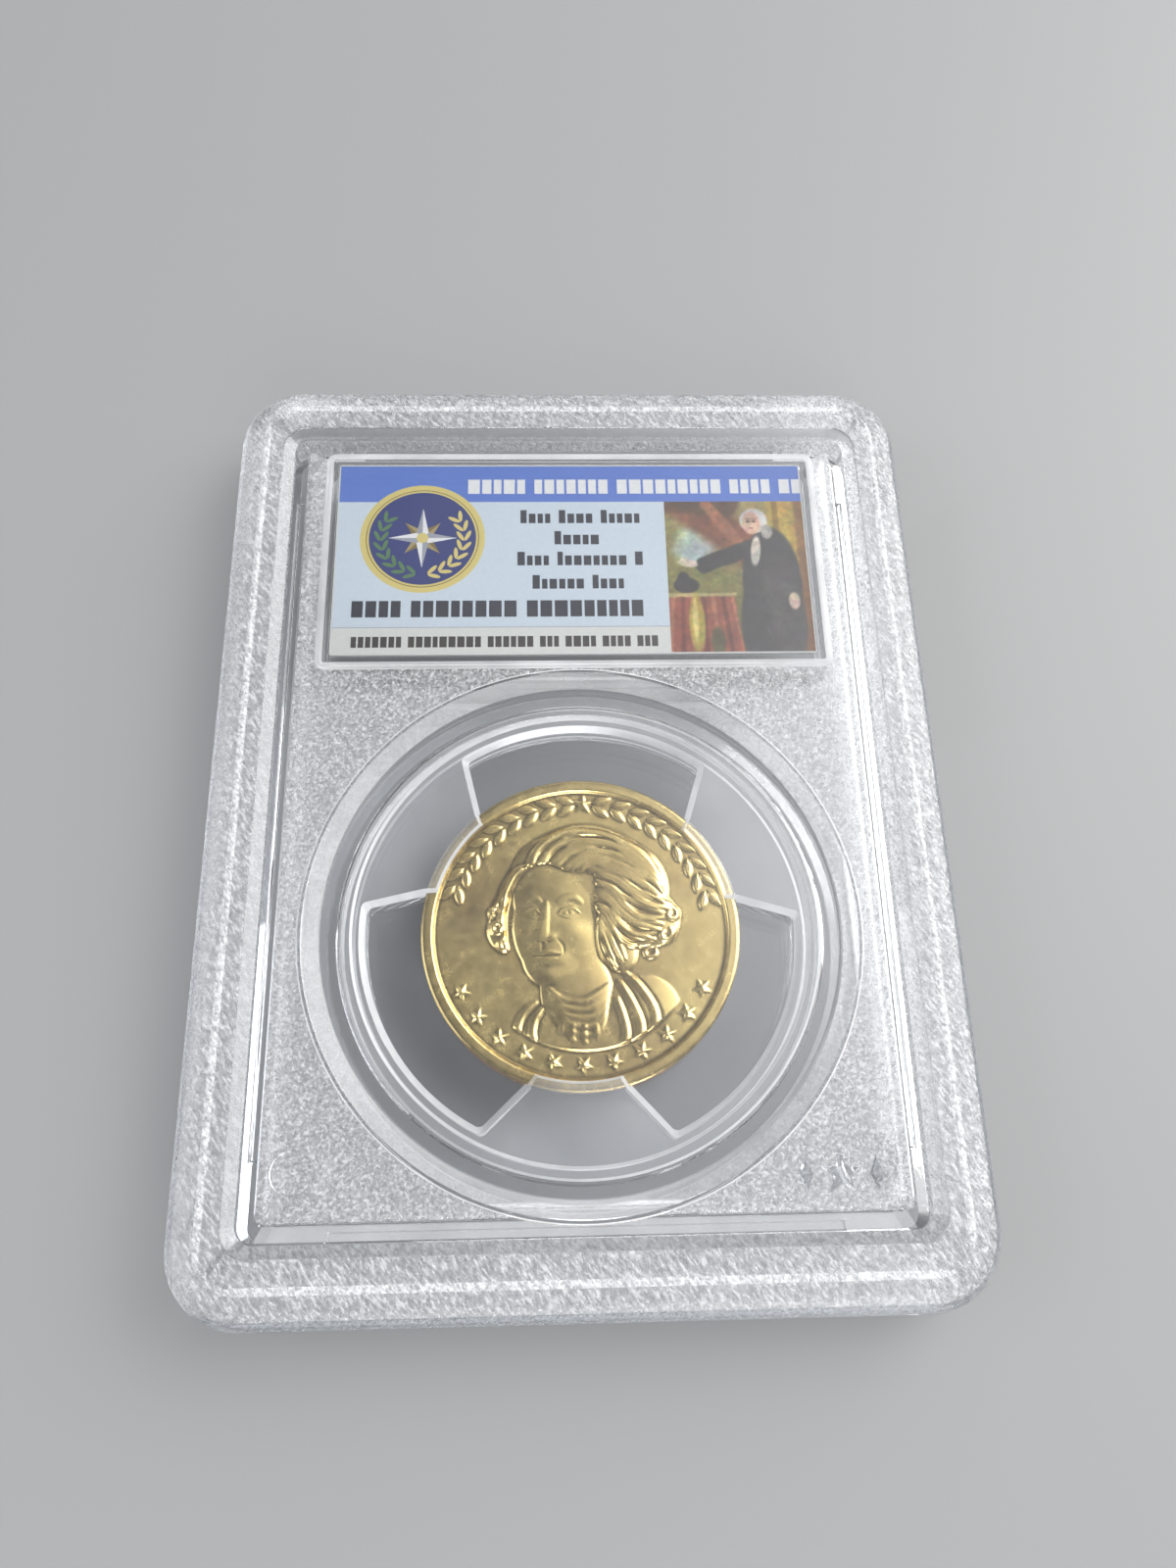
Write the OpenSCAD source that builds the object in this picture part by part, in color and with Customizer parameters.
// Graded coin slab: two clear shells welded around a coin in a three-prong
// holder, with a printed label on each side of the mid-plane.
// The slab lies on its back: +X is to its right, +Y towards the labels, +Z out
// of its front face. The origin is the centre of the back.

/* [Case] */
// Width of the slab
slab_w = 63; // [62:0.1:64]
// Height of the slab
slab_h = 83.5; // [83:0.1:85]
// Thickness of the two closed shells
slab_t = 7.9; // [7.8:0.1:8.4]
// Radius of the corners in the outline
corner_r = 6; // [5:0.1:7]
// Rounding of the front edge
front_edge_r = 2; // [1:0.1:2.2]
// Rounding of the back edge
back_edge_r = 1.2; // [0.8:0.1:2.2]

/* [Stacking frame] */
// Width of the raised frame at the left and right
frame_side_w = 4.4; // [4.2:0.1:4.6]
// Width of the raised frame at the top and bottom
frame_end_w = 5; // [4.8:0.1:5.2]
// How far the field lies below the raised frame
field_drop = 0.6; // [0.4:0.05:0.7]
// How far the groove beside the frame lies below the field
groove_drop = 0.2; // [0.1:0.05:0.3]

/* [Coin window] */
// Radius of the lip around the window
window_r = 23.1; // [22.8:0.1:23.3]
// Distance from the slab's centre down to the coin's centre
coin_y = -11.9; // [-12:0.1:-11.5]
// Thickness of the pane over the coin
pane_t = 1.4; // [1.2:0.1:1.6]

/* [Coin] */
// Diameter of the coin
coin_d = 26.49; // [26.3:0.01:26.5]
// Thickness of the coin at its rim
coin_t = 2; // [1.9:0.05:2.1]
// Share of the thickness taken by the core
core_share = 0.5; // [0.4:0.05:0.6]
// Width of the coin's rim
rim_w = 0.9; // [0.6:0.1:1.2]

/* [Coin holder] */
// Outer radius of the holder
holder_r = 19.9; // [19.6:0.1:20]
// Thickness of the holder
holder_t = 3; // [2.8:0.1:3.1]
// Radius of the outer arc of each cut-out
cutout_r = 17.8; // [17:0.1:18.2]
// How far each prong's lips reach over the coin
prong_lip = 0.9; // [0.5:0.1:1.2]

/* [Label] */
// Width of each label
label_w = 44.4; // [43:0.1:44.6]
// Height of each label
label_h = 20.4; // [20:0.1:20.6]
// Distance from the slab's centre up to the labels' centre
label_y = 23.9; // [23.8:0.1:24]
// Thickness of the label card
label_t = 0.2; // [0.15:0.01:0.25]
// Diameter of the foil hologram
hologram_d = 10; // [6:0.5:14]

/* [Hidden] */
$fn = 96;
clear = [0.82, 0.86, 0.9, 0.4];

// Heights
mid_z = slab_t / 2;
field_z = slab_t - field_drop;
groove_z = field_z - groove_drop;
pane_out_z = slab_t - 1;
pane_in_z = pane_out_z - pane_t;
field_t = 1.5;
cavity_top_z = field_z - field_t;
foil_t = 0.05;

// Recess inside the stacking frame, and the groove around the field
recess_w = slab_w - 2 * frame_side_w;
recess_h = slab_h - 2 * frame_end_w;
recess_r = 2.3;
groove_in = 1;
groove_w = 1.3;
groove_out_w = recess_w - 2 * groove_in;
groove_out_h = recess_h - 2 * groove_in;
field_w = groove_out_w - 2 * groove_w;
field_h = groove_out_h - 2 * groove_w;
field_r = 0.6;

// Raised pad over the label, and the boss behind it
raised = 0.15;
pad_w = 46.2;
pad_h = 22.8;
pad_y = 22.7;
pad_r = 0.9;
boss_w = label_w + 1.4;
boss_h = label_h + 3;
boss_y = label_y - 0.8;
slip = 0.1;

// Coin window
lip_w = 0.4;
dish_r = window_r - 1.7;
well_r = holder_r + 0.2;
well_wall = 1.7;

// Cavity behind the field
cavity_w = field_w - 0.6;
cavity_h = field_h - 0.8;

// Weld rails of the front shell and their grooves in the rear shell
rail_w = 0.9;
rail_deep = 0.6;
rail_x = field_w / 2 + 0.75;
rail_y = field_h / 2 + 1;
rail_half_x = 19.8;
rail_half_y = 29.8;

// Locating pegs of the front shell and their sockets in the rear shell
peg_r = 1.5;
peg_x = 22.2;
peg_y = -30.8;
peg_low_z = mid_z - 1;
socket_wall = 0.6;

// Mark embossed in the corner of the field: a star between two lozenges
mark_x = 19.4;
mark_y = -31.7;
mark_r = 1.7;
mark_step = 2.75;
mark_raised = 0.25;

// Coin layers
coin_r = coin_d / 2;
core_t = coin_t * core_share;
rim_h = 0.12;
relief_h = 0.08;

// A rectangle with round corners, centred on the origin
module round_rect(w, h, r) {
  square([w - 2 * r, h], center = true);
  square([w, h - 2 * r], center = true);
  for (x = [-1, 1], y = [-1, 1])
    translate([x * (w / 2 - r), y * (h / 2 - r)]) circle(r);
}

module round_plate(w, h, r, low, high) {
  translate([0, 0, low]) linear_extrude(high - low) round_rect(w, h, r);
}

// Section of half a shell's edge: flat below, rounded above
module edge_section(r, high, e) {
  square([r, high - e]);
  square([r - e, high]);
  translate([r - e, high - e]) intersection() {
    circle(e);
    square(e);
  }
}

// A plate on z = 0 whose upper edge is rounded all the way round
module rounded_block(w, h, r, high, e) {
  half_x = w / 2 - r;
  half_y = h / 2 - r;
  translate([-half_x, -half_y, 0]) cube([2 * half_x, 2 * half_y, high]);
  for (turn = [0, 180]) {
    rotate([0, 0, turn]) translate([half_x, half_y, 0]) rotate([90, 0, 0])
      linear_extrude(2 * half_y) edge_section(r, high, e);
    rotate([0, 0, turn + 90]) translate([half_y, half_x, 0]) rotate([90, 0, 0])
      linear_extrude(2 * half_x) edge_section(r, high, e);
    rotate([0, 0, turn]) translate([half_x, half_y, 0])
      rotate_extrude(angle = 90) edge_section(r, high, e);
    rotate([0, 0, turn + 90]) translate([half_y, half_x, 0])
      rotate_extrude(angle = 90) edge_section(r, high, e);
  }
}

// Outside of one shell, open face on z = 0 and outer face upwards
module shell_outside(edge_r) {
  outer = slab_t - mid_z;
  field = field_z - mid_z;
  groove = groove_z - mid_z;
  difference() {
    union() {
      difference() {
        rounded_block(slab_w, slab_h, corner_r, outer, edge_r);
        round_plate(recess_w, recess_h, recess_r, field, outer + 1);
        difference() {
          round_plate(groove_out_w, groove_out_h, recess_r - groove_in, groove, outer);
          round_plate(field_w, field_h, field_r, 0, outer + 1);
        }
      }
      translate([0, pad_y, 0]) round_plate(pad_w, pad_h, pad_r, groove, field + raised);
      translate([0, coin_y, groove - 1]) cylinder(h = field + raised - groove + 1, r = window_r);
    }
    translate([0, coin_y, 0]) rotate_extrude() window_dish(field + raised, pane_out_z - mid_z);
  }
}

// Half section of the shallow dish over the coin
module window_dish(rim_z, floor_z) {
  polygon([
    [0, floor_z],
    [dish_r, floor_z],
    [window_r - lip_w, rim_z],
    [window_r - lip_w, rim_z + 1],
    [0, rim_z + 1]
  ]);
}

// Space inside one shell, open face on z = 0
module shell_inside(label_deep) {
  difference() {
    translate([0, 0, -1]) round_plate(cavity_w, cavity_h, field_r, 0, cavity_top_z - mid_z + 1);
    translate([0, boss_y, -2]) linear_extrude(slab_t) round_rect(boss_w, boss_h, pad_r);
    translate([0, coin_y, -2]) cylinder(h = slab_t, r = well_r + well_wall);
    peg_bosses();
  }
  translate([0, coin_y, -1]) cylinder(h = pane_in_z - mid_z + 1, r = well_r);
  translate([0, label_y, -1]) linear_extrude(1 + label_deep)
    square([label_w + 2 * slip, label_h + 2 * slip], center = true);
}

module peg_bosses() {
  for (x = [-peg_x, peg_x])
    translate([x, peg_y, -2]) cylinder(h = slab_t, r = peg_r + socket_wall);
}

// The weld rails, or with spare room the grooves that take them
module rails(spare) {
  wide = rail_w + 2 * spare;
  deep = rail_deep + spare;
  for (side = [-1, 1]) {
    translate([side * rail_x - wide / 2, -rail_half_y - spare, mid_z - deep])
      cube([wide, 2 * (rail_half_y + spare), deep + spare]);
    translate([-rail_half_x - spare, side * rail_y - wide / 2, mid_z - deep])
      cube([2 * (rail_half_x + spare), wide, deep + spare]);
  }
}

// A star whose inner corners lie at a share of its radius; two points make a lozenge
module star(r, points = 5, inner = 0.4) {
  step = 180 / points;
  polygon([
    for (i = [0:2 * points - 1])
      let (a = 90 + step * i, reach = i % 2 == 0 ? r : r * inner)
        [reach * cos(a), reach * sin(a)]
  ]);
}

module embossed_mark() {
  sunk = 0.3;
  translate([mark_x, mark_y, field_z - sunk]) linear_extrude(sunk + mark_raised) {
    star(mark_r);
    for (side = [-1, 1])
      translate([side * mark_step, 0]) star(0.75 * mark_r, 2, 0.45);
  }
}

module front_shell() {
  color(clear) {
    difference() {
      translate([0, 0, mid_z]) shell_outside(front_edge_r);
      translate([0, 0, mid_z]) shell_inside(label_t);
    }
    embossed_mark();
    rails(0);
    for (x = [-peg_x, peg_x])
      translate([x, peg_y, peg_low_z]) cylinder(h = mid_z - peg_low_z + 0.5, r = peg_r);
  }
}

module rear_shell() {
  color(clear) difference() {
    translate([0, 0, mid_z]) mirror([0, 0, 1]) difference() {
      shell_outside(back_edge_r);
      shell_inside(label_t + foil_t);
    }
    rails(slip);
    for (x = [-peg_x, peg_x])
      translate([x, peg_y, peg_low_z - slip]) cylinder(h = mid_z, r = peg_r + slip);
  }
}

// One cut-out of the holder, on the +Y side, with sides that close inwards
module cutout() {
  outer_half = cutout_r * sin(34.5);
  inner_half = coin_r * sin(41.5);
  outer_at = cutout_r * cos(34.5);
  inner_at = coin_r * cos(41.5);
  intersection() {
    circle(cutout_r);
    polygon([
      [-outer_half, outer_at], [-outer_half, cutout_r + 1],
      [outer_half, cutout_r + 1], [outer_half, outer_at],
      [inner_half, inner_at], [inner_half / 2, 0],
      [-inner_half / 2, 0], [-inner_half, inner_at]
    ]);
  }
}

module coin_holder() {
  slot_r = coin_r + 0.03;
  slot_t = coin_t + 0.04;
  ridge_w = 1;
  step = 0.15;
  color([0.88, 0.9, 0.93, 0.4])
    translate([0, coin_y, 0]) difference() {
      translate([0, 0, mid_z - holder_t / 2]) cylinder(h = holder_t, r = holder_r);
      for (up = [0, 1])
        translate([0, 0, mid_z]) mirror([0, 0, up]) translate([0, 0, holder_t / 2 - step])
          cylinder(h = 1, r = holder_r - ridge_w);
      cylinder(h = slab_t, r = coin_r - prong_lip);
      translate([0, 0, mid_z - slot_t / 2]) cylinder(h = slot_t, r = slot_r);
      for (turn = [-2, 118, 238])
        rotate([0, 0, turn]) linear_extrude(slab_t) cutout();
    }
}

module coin_core() {
  color([0.72, 0.45, 0.3])
    translate([0, coin_y, mid_z - core_t / 2]) cylinder(h = core_t, r = coin_r);
}

// A cladding layer on z = 0 with its rim, struck face upwards
module cladding(thick) {
  difference() {
    cylinder(h = thick, r = coin_r);
    translate([0, 0, thick - rim_h]) cylinder(h = 1, r = coin_r - rim_w);
  }
}

// Plain relief of a head and shoulders
module bust_relief() {
  head_r = 3.7;
  translate([0, 1.6]) circle(head_r);
  intersection() {
    translate([0, -9]) circle(6.8);
    translate([-7, -7.4]) square([14, 8]);
  }
  translate([-2, -4]) square([4, 4]);
}

// Plain relief of a star in a ring
module wreath_relief() {
  star(5);
  difference() {
    circle(9);
    circle(8);
  }
}

module coin_obverse_cladding() {
  thick = (coin_t - core_t) / 2;
  color([0.8, 0.65, 0.32]) translate([0, coin_y, mid_z + core_t / 2]) {
    cladding(thick);
    translate([0, 0, thick - rim_h - relief_h]) linear_extrude(2 * relief_h) bust_relief();
  }
}

module coin_reverse_cladding() {
  thick = (coin_t - core_t) / 2;
  color([0.78, 0.62, 0.3]) translate([0, coin_y, mid_z - core_t / 2]) mirror([0, 0, 1]) {
    cladding(thick);
    translate([0, 0, thick - rim_h - relief_h]) linear_extrude(2 * relief_h) wreath_relief();
  }
}

// A label card standing on the given height
module card(low) {
  translate([0, label_y, low + label_t / 2]) cube([label_w, label_h, label_t], center = true);
}

module front_label() {
  color([0.72, 0.82, 0.92]) card(mid_z);
}

module rear_label() {
  color([0.9, 0.92, 0.95]) card(mid_z - label_t);
}

module security_hologram() {
  color([0.75, 0.8, 0.85])
    translate([-label_w / 2 + hologram_d, label_y, mid_z - label_t - foil_t])
      cylinder(h = foil_t, d = hologram_d);
}

front_shell();
rear_shell();
coin_holder();
coin_core();
coin_obverse_cladding();
coin_reverse_cladding();
front_label();
rear_label();
security_hologram();
